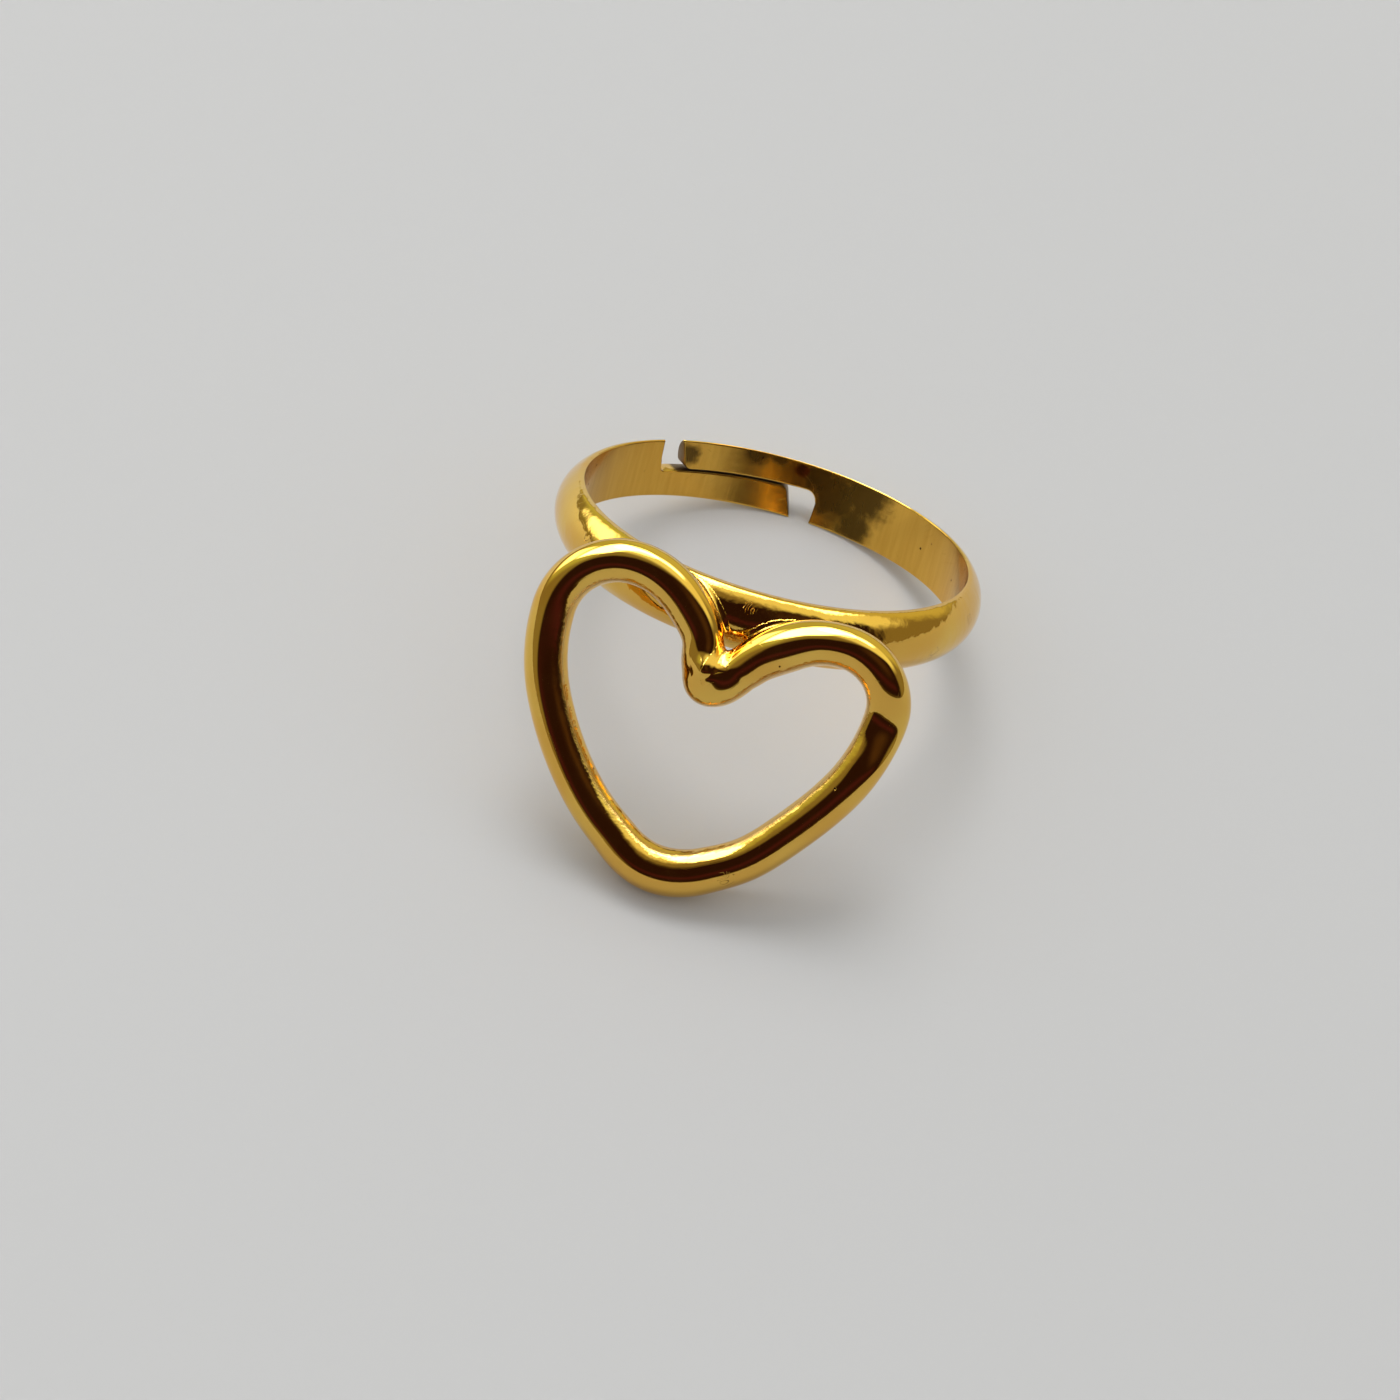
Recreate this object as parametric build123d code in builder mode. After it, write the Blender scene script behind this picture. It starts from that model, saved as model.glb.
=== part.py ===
"""Adjustable finger ring with an open heart, lying on a table as it rests by itself.

All lengths are in millimetres and all angles in degrees.  The ring is first built in the
finger's own frame: the finger runs along Z, the heart is at the front on -Y, and the band's
middle is at Z = 0.  It is then laid on the table, on the heart's tip and on the back of the
band's lower rim, with the middle of its bounding box's underside at the origin.
"""

import os
from math import asin, atan2, cos, degrees, hypot, radians, sin, sqrt

from build123d import *

# Band
finger_bore = 17.0          # inside diameter
band_width = 2.67           # along the finger
crown_thickness = 0.92      # wall at the middle of the dome, at the sides
rim_thickness = 0.22        # wall at the two edges, at the sides
front_offset = 0.15         # how much thicker the wall is at the front, and thinner at the back

# Split at the back, a Z-shaped cut that leaves two tongues
split_heading = 23.8        # middle of the slit, to the left of the point opposite the heart
slit_length = 5.12          # along the bore
slit_gap = 0.08             # between the tongues
slit_rise = 0.16            # from the upper tongue's end to the lower tongue's
upper_gap = 1.15            # in front of the upper tongue's end, along the bore
lower_gap = 1.19            # in front of the lower tongue's end, along the bore
tongue_slant = 0.4          # how much longer a tongue is at the band's rim than at the slit
upper_gap_slant = 0.15      # how much further from the slit's middle the upper gap's far wall starts
tongue_corner = 0.4         # rounding of each tongue's corner beside the slit
upper_gap_corner = 0.22     # rounding of the upper gap's far corner beside the slit
lower_gap_corner = 0.45     # rounding of the lower gap's far corner beside the slit

# Open heart, one round wire bent into a loop by hand, so its two lobes are not quite alike
heart_width = 16.42         # over the wire
wire_diameter = 1.836
fold_inner_radius = 0.082   # inside the sharp fold between the lobes
heart_drop = 11.6           # from the band's middle down to the heart's lowest point
heart_rise = 2.22           # from the band's middle up to the top of the left lobe

# How the heart is soldered to the band
solder_sink = 0.52          # how far the wire stands into the band's crown line
heart_lean = 11.34          # the tip stands further out than the lobes
heart_shift = 0.59          # to the right, seen from the front

# Each half of the heart, from its tip to its fold, is a chain of tangent arcs.  A radius is a
# share of the width between the wire's centre lines; the two flank radii make up the heart's
# width and height.
TIP_SHARE, TIP_TURN = 0.238, 34
LOWER_FLANK_TURN = 28
RIGHT_LOBE_SHARE, RIGHT_CROWN_SHARE = 0.161, 0.302
LEFT_LOBE_SHARE, LEFT_CROWN_SHARE = 0.1972, 0.2386

bore_radius = finger_bore / 2
rim_radius = bore_radius + rim_thickness
crown_radius = bore_radius + crown_thickness
half_width = band_width / 2
wire_radius = wire_diameter / 2
cut_reach = 2 * crown_thickness


def bore_angle(length):
    """Angle that a length along the bore takes up."""
    return degrees(length / bore_radius)


def wall_point(angle, height):
    """Point in the middle of the wall, at an angle round the finger and a height."""
    radius = (bore_radius + crown_radius) / 2
    return Vector(radius * cos(radians(angle)), radius * sin(radians(angle)), height)


def slit_block(start, end):
    """Thin block through the wall along the band's middle, from one angle to another."""
    with BuildPart() as block:
        with BuildSketch(Plane.XZ):
            with Locations(((bore_radius + crown_radius) / 2, 0)):
                Rectangle(2 * cut_reach, slit_gap)
        revolve(axis=Axis.Z, revolution_arc=end - start)
    return block.part.rotate(Axis.Z, start)


def gap_block(tongue_angle, side, gap, wall_slant=0):
    """Block through the wall in front of a tongue's end; side is 1 above the slit, -1 below."""
    turn = radians(tongue_angle)
    wall = Plane(
        origin=wall_point(tongue_angle, 0),
        x_dir=(-side * sin(turn), side * cos(turn), 0),
        z_dir=(cos(turn), sin(turn), 0),
    )
    inner, outer = -slit_gap / 2, half_width + cut_reach
    tongue_slope, wall_slope = tongue_slant / half_width, wall_slant / half_width
    with BuildPart() as block:
        with BuildSketch(wall):
            Polygon(
                (tongue_slope * (inner - half_width / 2), inner),
                (gap + wall_slope * (inner - half_width / 2), inner),
                (gap + wall_slope * (outer - half_width / 2), outer),
                (tongue_slope * (outer - half_width / 2), outer),
                align=None,
            )
        extrude(amount=cut_reach, both=True)
    return block.part


def cut_edge(part, angle, height):
    """Straight edge across the wall nearest to a corner of the split."""
    return part.edges().filter_by(GeomType.LINE).sort_by_distance(wall_point(angle, height))[0]


# Split: what is taken out of the band to leave the two tongues.
# Angles round the finger run from +X towards +Y, so the point opposite the heart is at 90.
slit_middle = 90 + split_heading
slit_start = slit_middle - bore_angle(slit_length) / 2
slit_end = slit_middle + bore_angle(slit_length) / 2
lower_gap_start = slit_start - bore_angle(lower_gap)
upper_gap_end = slit_end + bore_angle(upper_gap)

with BuildPart() as split:
    add(slit_block(slit_start, slit_end))
    add(gap_block(slit_end, 1, upper_gap, upper_gap_slant))
    add(gap_block(slit_start, -1, lower_gap))
    fillet(cut_edge(split.part, slit_end, slit_gap / 2), tongue_corner)
    fillet(cut_edge(split.part, slit_start, -slit_gap / 2), tongue_corner)
    fillet(cut_edge(split.part, upper_gap_end, -slit_gap / 2), upper_gap_corner)
    fillet(cut_edge(split.part, lower_gap_start, slit_gap / 2), lower_gap_corner)

slit_axis = Axis((0, 0, 0), wall_point(slit_middle, 0))
split_cutter = split.part.rotate(slit_axis, -degrees(atan2(slit_rise, slit_length)))

# Band: a D-shaped section, flat inside and domed outside.  The outside is turned about a line
# in front of the bore's, so that the wall thins towards the back.
outside_plane = Plane.XZ.offset(front_offset)

with BuildPart() as band:
    with BuildSketch(outside_plane):
        with BuildLine():
            Polyline(
                (rim_radius, -half_width),
                (0, -half_width),
                (0, half_width),
                (rim_radius, half_width),
            )
            ThreePointArc((rim_radius, half_width), (crown_radius, 0), (rim_radius, -half_width))
        make_face()
    revolve(axis=Axis(outside_plane.origin, (0, 0, 1)))
    Cylinder(bore_radius, band_width, mode=Mode.SUBTRACT)
    add(split_cutter, mode=Mode.SUBTRACT)

# Heart: its wire lies in a plane that leans out at the tip.
lean = radians(heart_lean)
heart_plane = Plane(
    origin=(heart_shift, -(crown_radius + front_offset + wire_radius - solder_sink), 0),
    x_dir=(1, 0, 0),
    z_dir=(0, -cos(lean), sin(lean)),
)

centre_width = heart_width - wire_diameter
fold_radius = wire_radius + fold_inner_radius
tip_height = wire_radius - heart_drop
widest_height = heart_rise - wire_radius - LEFT_LOBE_SHARE * centre_width

# The flank radii solve two equations, one for the half's width and one for its height.
tip_radius = TIP_SHARE * centre_width
tip_heading = radians(TIP_TURN)
flank_heading = radians(TIP_TURN + LOWER_FLANK_TURN)
flank_width = centre_width / 2 - tip_radius * sin(tip_heading)
flank_height = widest_height - tip_height - tip_radius * (1 - cos(tip_heading))
lower_across, lower_up = sin(flank_heading) - sin(tip_heading), cos(tip_heading) - cos(flank_heading)
upper_across, upper_up = 1 - sin(flank_heading), cos(flank_heading)
solver = lower_across * upper_up - upper_across * lower_up
lower_flank_radius = (flank_width * upper_up - flank_height * upper_across) / solver
upper_flank_radius = (flank_height * lower_across - flank_width * lower_up) / solver


def arc_about(centre, start, end):
    """Draw the short arc round a centre from one point to another."""
    spoke = start - centre
    middle = centre + (spoke + end - centre).normalized() * spoke.length
    ThreePointArc(*((point.X, point.Y) for point in (start, middle, end)))


def half_heart(side, lobe_share):
    """Draw one half's arcs from the tip to the lobe's top, and give that top.

    The side is 1 on the right and -1 on the left, seen from the front.
    """
    chain = (
        (tip_radius, TIP_TURN),
        (lower_flank_radius, LOWER_FLANK_TURN),
        (upper_flank_radius, 90 - TIP_TURN - LOWER_FLANK_TURN),
        (lobe_share * centre_width, 90),
    )
    end = Vector(0, tip_height)
    heading = 0
    for radius, turn in chain:
        start = end
        centre = start + Vector(0, radius).rotate(Axis.Z, side * heading)
        end = centre + (start - centre).rotate(Axis.Z, side * turn)
        arc_about(centre, start, end)
        heading += turn
    return end


with BuildPart() as heart:
    with BuildLine(heart_plane) as wire_path:
        right_top = half_heart(1, RIGHT_LOBE_SHARE)
        left_top = half_heart(-1, LEFT_LOBE_SHARE)
        right_crown = right_top - Vector(0, RIGHT_CROWN_SHARE * centre_width)
        left_crown = left_top - Vector(0, LEFT_CROWN_SHARE * centre_width)
        right_reach = RIGHT_CROWN_SHARE * centre_width + fold_radius
        left_reach = LEFT_CROWN_SHARE * centre_width + fold_radius
        across = left_crown - right_crown
        along = (right_reach**2 - left_reach**2 + across.length**2) / (2 * across.length)
        above = sqrt(right_reach**2 - along**2)
        foot = right_crown + across.normalized() * along
        fold = foot + across.normalized().rotate(Axis.Z, -90) * above
        right_end = fold + (right_crown - fold).normalized() * fold_radius
        left_end = fold + (left_crown - fold).normalized() * fold_radius
        arc_about(right_crown, right_top, right_end)
        arc_about(fold, right_end, left_end)
        arc_about(left_crown, left_end, left_top)
    with BuildSketch(Plane(heart_plane.from_local_coords((0, tip_height)), z_dir=heart_plane.x_dir)):
        Circle(wire_radius)
    sweep(path=wire_path.wires()[0])

# How it lies: the ring leans back about X until the tip's wire and the rim at the point opposite
# the heart touch one table.
tip_middle = heart_plane.from_local_coords((0, tip_height))
run = rim_radius - front_offset - tip_middle.Y
drop = -half_width - tip_middle.Z
rest_tilt = degrees(atan2(drop, run) + asin(wire_radius / hypot(run, drop)))

# Heart ring: the band and the heart soldered into one piece of metal, laid on the table.
with BuildPart() as heart_ring:
    add(band.part)
    add(heart.part)

laid = heart_ring.part.rotate(Axis.X, -rest_tilt)
box = laid.bounding_box()
laid = laid.translate((-(box.min.X + box.max.X) / 2, -(box.min.Y + box.max.Y) / 2, -box.min.Z))

print("tilt on the table", round(rest_tilt, 3))
os.makedirs("parts", exist_ok=True)
laid.label = "heart_ring"
export_step(laid, "parts/heart_ring.step")
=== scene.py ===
# %% [markdown]
# # An adjustable heart ring in polished gold-tone metal
# The ring is one piece of metal: a domed band, split at the back so that it can be bent to fit,
# with an open heart of round wire soldered to its front.  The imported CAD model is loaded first,
# because it fixes where everything is.  All sizes below are in millimetres, in the finger's own
# frame: the finger runs along Z and the heart is at the front, on -Y.

# %% Load the frame
from math import atan2, cos, exp, pi, radians, sin, sqrt

import bmesh
import bpy
import numpy as np
from mathutils import Matrix, Vector


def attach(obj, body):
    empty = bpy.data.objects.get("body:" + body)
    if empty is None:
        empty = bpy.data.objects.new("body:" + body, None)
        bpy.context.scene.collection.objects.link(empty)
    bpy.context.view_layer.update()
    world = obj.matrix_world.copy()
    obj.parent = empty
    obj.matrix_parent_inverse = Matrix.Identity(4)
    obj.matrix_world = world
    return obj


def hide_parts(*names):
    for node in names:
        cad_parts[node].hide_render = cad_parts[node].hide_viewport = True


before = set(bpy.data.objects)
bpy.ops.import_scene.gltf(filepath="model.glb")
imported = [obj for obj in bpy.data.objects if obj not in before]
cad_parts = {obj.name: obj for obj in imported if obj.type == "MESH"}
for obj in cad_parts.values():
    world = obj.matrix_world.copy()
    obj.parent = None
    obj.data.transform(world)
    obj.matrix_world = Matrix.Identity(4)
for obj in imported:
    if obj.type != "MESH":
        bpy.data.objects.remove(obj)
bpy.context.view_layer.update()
scene = bpy.context.scene

# %% [markdown]
# ## From the finger's frame to the table
# The ring rests on the heart's tip and on the back of the band, so it leans back.  Every mesh
# is made upright, where its numbers are simple, and one matrix then lays it on the table.  The
# objects could be turned instead, but that would hide the real place of their points.  So the
# matrix goes into the mesh itself, and each finished object stays at the origin.

# %% Lay a piece on the table
REST_TILT = radians(26.2142)
TABLE_SHIFT = Vector((0, 3.94404, 4.98330))
MILLIMETRE = 0.001
UPRIGHT_TO_LAID = Matrix.Translation(TABLE_SHIFT) @ Matrix.Rotation(-REST_TILT, 4, "X")
LAY = Matrix.Scale(MILLIMETRE, 4) @ UPRIGHT_TO_LAID


def add_piece(name, mesh):
    """Put a finished mesh in the scene as a piece of the ring."""
    piece = bpy.data.objects.new(name, mesh)
    scene.collection.objects.link(piece)
    mesh.shade_smooth()
    print(name, "triangles", sum(len(face.vertices) - 2 for face in mesh.polygons))
    return piece


def weigh_up(name, mesh):
    """Say how much metal a mesh holds, and whether its skin is closed."""
    shape = bmesh.new()
    shape.from_mesh(mesh)
    open_edges = sum(not edge.is_manifold for edge in shape.edges)
    print(name, "holds", round(shape.calc_volume(signed=True), 2), "mm3, open edges", open_edges)
    shape.free()

# %% [markdown]
# ## The band, drawn flat
# The real band is a strip of D-shaped wire, cut to a Z-shaped split at the back and bent round
# a mandrel.  It could be cut from a tube with booleans, but polished metal shows every stray
# facet.  So the strip is drawn flat first, as two rows of four-sided cells that share the
# band's middle line, and is then wrapped round the finger.

# %% Sizes of the band and its split
BORE = 8.5                                # inside radius
HALF_WIDTH = 1.335                        # half of the band's width along the finger
SLIT_HALF, SLIT_HALF_GAP = 2.56, 0.04     # half of the slit's length and of its gap
SLIT_TURN = atan2(0.16, 5.12)             # the slit is turned a little out of the band's middle
UPPER_GAP, LOWER_GAP = 1.15, 1.19         # in front of the upper and the lower tongue's end
UPPER_CORNER, LOWER_CORNER = 0.22, 0.45   # rounding of those gaps' far corners
TONGUE_CORNER = 0.4                       # rounding of each tongue's corner beside the slit
TONGUE_SLOPE = 0.4 / HALF_WIDTH           # how a tongue's end slants
UPPER_WALL_SLOPE = 0.15 / HALF_WIDTH      # how the upper gap's far wall slants
EDGE = 0.05                               # the soft edge that polishing leaves
COLUMNS = 16                              # cells from the middle line to a rim
print("the band is", round(2 * pi * BORE, 2), "mm long on the bore and", 2 * HALF_WIDTH, "mm wide")


# %% Points beside the slit
def tilted(side, point):
    """A point beside the slit, turned with it; side 1 is the upper tongue's, -1 the lower's."""
    c, s = cos(SLIT_TURN), sin(SLIT_TURN)
    return side * Vector((point[0] * c + point[1] * s, point[1] * c - point[0] * s))


def corner_arc(corner, before, after, radius, steps):
    """Points of a rounding between two straight sides that meet at a corner."""
    u, v = (before - corner).normalized(), (after - corner).normalized()
    half = u.angle(v) / 2
    centre = corner + (u + v).normalized() * radius / sin(half)
    start = corner + u * radius * cos(half) / sin(half) - centre
    end = corner + v * radius * cos(half) / sin(half) - centre
    chords = [start.lerp(end, k / steps) for k in range(steps + 1)]
    return [centre + chord.normalized() * radius for chord in chords]


def at_height(low, high, height):
    """Where the line through two points reaches a height."""
    return low + (high - low) * (height - low.y) / (high.y - low.y)


# %% Rows at a tongue's end
TONGUE_ROWS = 12    # rows round a tongue's corner
RIM_SPREAD = 0.75   # how far along the rim those rows spread


def tongue_rows(side):
    """Rows from a tongue's end towards its root, each as its slit point and its rim point."""
    def end_line(b):
        end = SLIT_HALF - EDGE * sqrt(1 + TONGUE_SLOPE**2)
        return Vector((end + TONGUE_SLOPE * (b - HALF_WIDTH / 2), b))

    beside_slit = SLIT_HALF_GAP + EDGE
    corner, root = end_line(beside_slit), Vector((0, beside_slit))
    arc = corner_arc(corner, root, end_line(HALF_WIDTH), TONGUE_CORNER - EDGE, TONGUE_ROWS)
    rim = side * (HALF_WIDTH - EDGE)
    first = at_height(tilted(side, end_line(0)), tilted(side, end_line(HALF_WIDTH)), rim)
    rows = []
    for k, point in enumerate(reversed(arc)):
        rim_point = first - Vector((side * RIM_SPREAD * k / TONGUE_ROWS, 0))
        rows.append((tilted(side, point), rim_point))
    return rows


# %% The far wall of a gap
WALL_CORNER_STEPS = 7


def wall_row(side):
    """The far wall's row, from the slit round the corner's rounding to the rim."""
    gap, slope, radius = LOWER_GAP, 0, LOWER_CORNER
    if side > 0:
        gap, slope, radius = UPPER_GAP, UPPER_WALL_SLOPE, UPPER_CORNER

    def wall(b):
        return Vector((SLIT_HALF + gap + EDGE + slope * (b - HALF_WIDTH / 2), b))

    floor = -SLIT_HALF_GAP - EDGE
    corner, root = wall(floor), Vector((0, floor))
    arc = corner_arc(corner, root, wall(HALF_WIDTH), radius + EDGE, WALL_CORNER_STEPS)
    points = [tilted(side, point) for point in arc]
    rim = side * (HALF_WIDTH - EDGE)
    top = at_height(tilted(side, wall(0)), tilted(side, wall(HALF_WIDTH)), rim)
    rest = COLUMNS + 1 - len(points)
    return points + [points[-1].lerp(top, (k + 1) / rest) for k in range(rest)]


# %% Rows between the slit and a rim
ROUND = 2 * pi * BORE   # once round the bore
ROW_STEP = 0.14         # from row to row


def row_between(start, end):
    """A straight row whose points crowd a little towards both ends."""
    shares = [k / COLUMNS for k in range(COLUMNS + 1)]
    return [start.lerp(end, 0.5 * t + 0.25 * (1 - cos(pi * t))) for t in shares]


def stepped(start, end):
    """Places from start to end, about one row step apart."""
    count = max(2, round(abs(end - start) / ROW_STEP))
    return [start + (end - start) * k / count for k in range(count + 1)]


def slit_point(side, s):
    """The edge beside the slit of the half that the given side's tongue faces across it."""
    floor = -SLIT_HALF_GAP - EDGE
    a, b = tilted(side, (0, floor)), tilted(side, (1, floor))
    return a + (b - a) * (s - a.x) / (b.x - a.x)


# %% Fill one half of the strip
WALL_ROWS = 6   # rows over which the far wall's shape fades out


def half_strip(side, middle):
    """Rows of one half of the strip, from its far wall to its tongue's end.

    The middle is the line that both halves share, listed from this half's far wall.
    """
    wall_lap, lap = (0, ROUND) if side > 0 else (ROUND, 0)
    wall = [p + Vector((wall_lap, 0)) for p in wall_row(side)]
    rim = side * (HALF_WIDTH - EDGE)
    rows = [wall]
    for k, point in enumerate(middle[1:], start=1):
        ease = max(0, 1 - k / WALL_ROWS)
        shift = middle[0] - point
        row = []
        for j, (p, w) in enumerate(zip(row_between(point, Vector((point.x, rim))), wall)):
            row.append(p.lerp(w - shift * (1 - j / COLUMNS), ease))
        rows.append(row)
    tongue = [(a + Vector((lap, 0)), b + Vector((lap, 0))) for a, b in tongue_rows(side)]
    for s in stepped(middle[-1].x, tongue[-1][0].x)[1:-1]:
        start = slit_point(-side, s - lap) + Vector((lap, 0))
        rows.append(row_between(start, Vector((s, rim))))
    return rows + [row_between(a, b) for a, b in reversed(tongue)]


# %% Both halves and the line they share
EASE_LENGTH = 5.0   # from each far wall, the shared line eases to the band's middle
first, last = wall_row(1)[0], wall_row(-1)[0] + Vector((ROUND, 0))
shared = []
for s in stepped(first.x, last.x):
    near = max(0, 1 - (s - first.x) / EASE_LENGTH)
    far = max(0, 1 - (last.x - s) / EASE_LENGTH)
    height = first.y * near**2 * (3 - 2 * near) + last.y * far**2 * (3 - 2 * far)
    shared.append(Vector((s, height)))
upper_rows = half_strip(1, shared)
lower_rows = half_strip(-1, shared[::-1])
print("rows", len(upper_rows), len(lower_rows), "of", COLUMNS, "cells")

# %% [markdown]
# ## Wrapping the strip round the finger
# The band's wall is flat inside and domed outside, and it thins towards the back, because the
# dome's centre lies in front of the bore's.  Simple Deform and Solidify modifiers could bend the
# strip and thicken it, but they know nothing of the dome.  So each point of the flat strip becomes
# two, one on the bore and one on the dome.  Along the outline, a short rounded wall joins the two
# skins, as the soft edge that polishing leaves.

# %% The dome
RIM, CROWN = 8.72, 9.42        # outside radius at the rims and along the middle
FRONT_OFFSET = 0.15            # how far the dome's centre lies in front of the bore's
SLIT_MIDDLE = radians(113.8)   # round the finger, from the right towards the back
DOME = (HALF_WIDTH**2 + (CROWN - RIM) ** 2) / (2 * (CROWN - RIM))
DOME_RING = CROWN - DOME
print("the dome's own radius is", round(DOME, 3))


def dome_radius(angle, z):
    """Outside radius at an angle round the finger and a height."""
    ring = DOME_RING + sqrt(DOME**2 - min(abs(z), HALF_WIDTH) ** 2)
    along = -FRONT_OFFSET * sin(angle)
    return along + sqrt(ring**2 - FRONT_OFFSET**2 + along**2)


def wrapped(point, share):
    """A flat point on the bore (share 0) or on the dome (share 1)."""
    angle = SLIT_MIDDLE + point[0] / BORE
    radius = BORE + share * (dome_radius(angle, point[1]) - BORE)
    return Vector((radius * cos(angle), radius * sin(angle), point[1]))


# %% Number the strip's points and find its outline
def number_points(halves):
    """The strip's points, each listed once, and its cells by their points' numbers."""
    flat, place, cells = [], {}, []
    for rows in halves:
        ids = []
        for row in rows:
            ids.append([])
            for p in row:
                key = (round(p.x, 5), round(p.y, 5))
                if key not in place:
                    place[key] = len(flat)
                    flat.append(p)
                ids[-1].append(place[key])
        for a, b in zip(ids, ids[1:]):
            cells += [(a[j], a[j + 1], b[j + 1], b[j]) for j in range(COLUMNS)]
    return flat, cells


def outline(flat, cells):
    """The edges that only one cell uses, and how far each of their points steps outwards."""
    used = {}
    for cell in cells:
        middle = sum((flat[i] for i in cell), Vector((0, 0))) / 4
        for a, b in zip(cell, cell[1:] + cell[:1]):
            used.setdefault(frozenset((a, b)), []).append((a, b, middle))
    border = [uses[0] for uses in used.values() if len(uses) == 1]
    sides = {}
    for a, b, middle in border:
        side = (flat[b] - flat[a]).orthogonal().normalized()
        if side.dot(flat[a] - middle) < 0:
            side = -side
        for i in (a, b):
            sides.setdefault(i, []).append(side)
    steps = {}
    for i, (one, other) in sides.items():
        mean = (one + other).normalized()
        steps[i] = mean * EDGE / max(0.5, mean.dot(one))
    return [(a, b) for a, b, middle in border], steps


# %% Wrap and close the band
def rounded_wall(mesh, start, step):
    """Vertices of the rounded wall at one point of the outline, from the bore to the dome."""
    angle = SLIT_MIDDLE + start.x / BORE
    thickness = dome_radius(angle, (start + step).y) - BORE
    rise = min(EDGE, 0.45 * thickness)
    points = []
    for turn in (pi / 6, pi / 3, pi / 2):
        p = start + step * sin(turn)
        points.append((p, rise * (1 - cos(turn)) / (dome_radius(angle, p.y) - BORE)))
    points += [(p, 1 - share) for p, share in reversed(points)]
    return [mesh.verts.new(wrapped(p, share)) for p, share in points]


def wrap_strip(halves):
    """A closed mesh of the band from the rows of its two halves, and its first wall vertex."""
    flat, cells = number_points(halves)
    border, steps = outline(flat, cells)
    mesh = bmesh.new()
    inner = [mesh.verts.new(wrapped(p, 0)) for p in flat]
    outer = [mesh.verts.new(wrapped(p, 1)) for p in flat]
    for cell in cells:
        mesh.faces.new([inner[i] for i in cell]).material_index = 1
        mesh.faces.new([outer[i] for i in cell])
    wall = {}
    for i, step in steps.items():
        wall[i] = [inner[i], *rounded_wall(mesh, flat[i], step), outer[i]]
    for a, b in border:
        for k in range(len(wall[a]) - 1):
            mesh.faces.new((wall[a][k], wall[a][k + 1], wall[b][k + 1], wall[b][k]))
    bmesh.ops.recalc_face_normals(mesh, faces=mesh.faces)
    return mesh, 2 * len(flat)


band_mesh, first_wall = wrap_strip((upper_rows, lower_rows))
band_data = bpy.data.meshes.new("band")
band_mesh.to_mesh(band_data)
band_mesh.free()
weigh_up("band", band_data)

# %% [markdown]
# ## Painted shade in the split
# The slit and the tongues' ends lie in shade and show as a dark line, which is painted into their
# walls' colour here.  A texture would have to be aimed at such a narrow place.  The walls are known
# by their place in the mesh, so they carry a number that the polish reads: 1 is painted dark, 0 is
# clean.

# %% Painted shade in the split
BAND_UNEVEN = 0.5   # how far the band's dome is from a perfect polish
PAST_ENDS = 0.3     # how far past the slit's ends the painted shade goes
walls = np.array([vertex.co for vertex in band_data.vertices])
turned = np.arctan2(walls[:, 1], walls[:, 0]) - SLIT_MIDDLE
in_split = (np.abs(turned) * BORE - SLIT_HALF < PAST_ENDS) & (np.abs(walls[:, 2]) < HALF_WIDTH - 0.1)
in_split[:first_wall] = False
# walls in the split carry 1, which the polish turns into painted shade
shaded = band_data.attributes.new("split_shade", "FLOAT", "POINT")
shaded.data.foreach_set("value", in_split.astype(float))
slipped = band_data.attributes.new("uneven", "FLOAT", "POINT")
slipped.data.foreach_set("value", [BAND_UNEVEN] * len(band_data.vertices))
print("grimy points", int(in_split.sum()), "of", len(band_data.vertices))
band_data.transform(LAY)
band = add_piece("band", band_data)

# %% [markdown]
# ## The heart's wire
# The heart is one round wire, bent by hand over a former, so its two lobes are not quite alike.
# Its line is a chain of arcs that run smoothly into each other, from the tip up each flank,
# over each lobe and down to a sharp fold.  The arcs are set out here, and a node tree below
# turns the line into wire.

# %% Sizes of the heart
WIRE = 0.918                          # radius of the wire
CENTRE_WIDTH = 16.42 - 2 * WIRE       # the heart's width, between the wire's centre lines
HEART_DROP, HEART_RISE = 11.6, 2.22   # from the band's middle down to the tip and up to the left lobe
TIP_RADIUS = 0.238 * CENTRE_WIDTH
TIP_TURN, FLANK_TURN = radians(34), radians(62)
LOBES = {1: 0.161 * CENTRE_WIDTH, -1: 0.1972 * CENTRE_WIDTH}     # right and left
CROWNS = {1: 0.302 * CENTRE_WIDTH, -1: 0.2386 * CENTRE_WIDTH}
TIP_HEIGHT = WIRE - HEART_DROP
WIDEST = HEART_RISE - WIRE - LOBES[-1]


def flank_radii():
    """The two flank radii that make up the heart's width and height."""
    across = (sin(FLANK_TURN) - sin(TIP_TURN), 1 - sin(FLANK_TURN))
    up = (cos(TIP_TURN) - cos(FLANK_TURN), cos(FLANK_TURN))
    width = CENTRE_WIDTH / 2 - TIP_RADIUS * sin(TIP_TURN)
    height = WIDEST - TIP_HEIGHT - TIP_RADIUS * (1 - cos(TIP_TURN))
    return np.linalg.solve((across, up), (width, height))


LOW_FLANK, HIGH_FLANK = flank_radii()
print("flank radii", round(LOW_FLANK, 3), round(HIGH_FLANK, 3))


# %% From the tip to the top of a lobe
def arc_points(centre, start, turn, step=0.11):
    """Points along an arc from a start point through a turn, without the last one."""
    radius = (start - centre).length
    count = max(3, round(abs(turn) * radius / step), round(abs(turn) / radians(3.5)))
    spoke = start - centre
    return [centre + Matrix.Rotation(turn * k / count, 2) @ spoke for k in range(count)]


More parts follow.
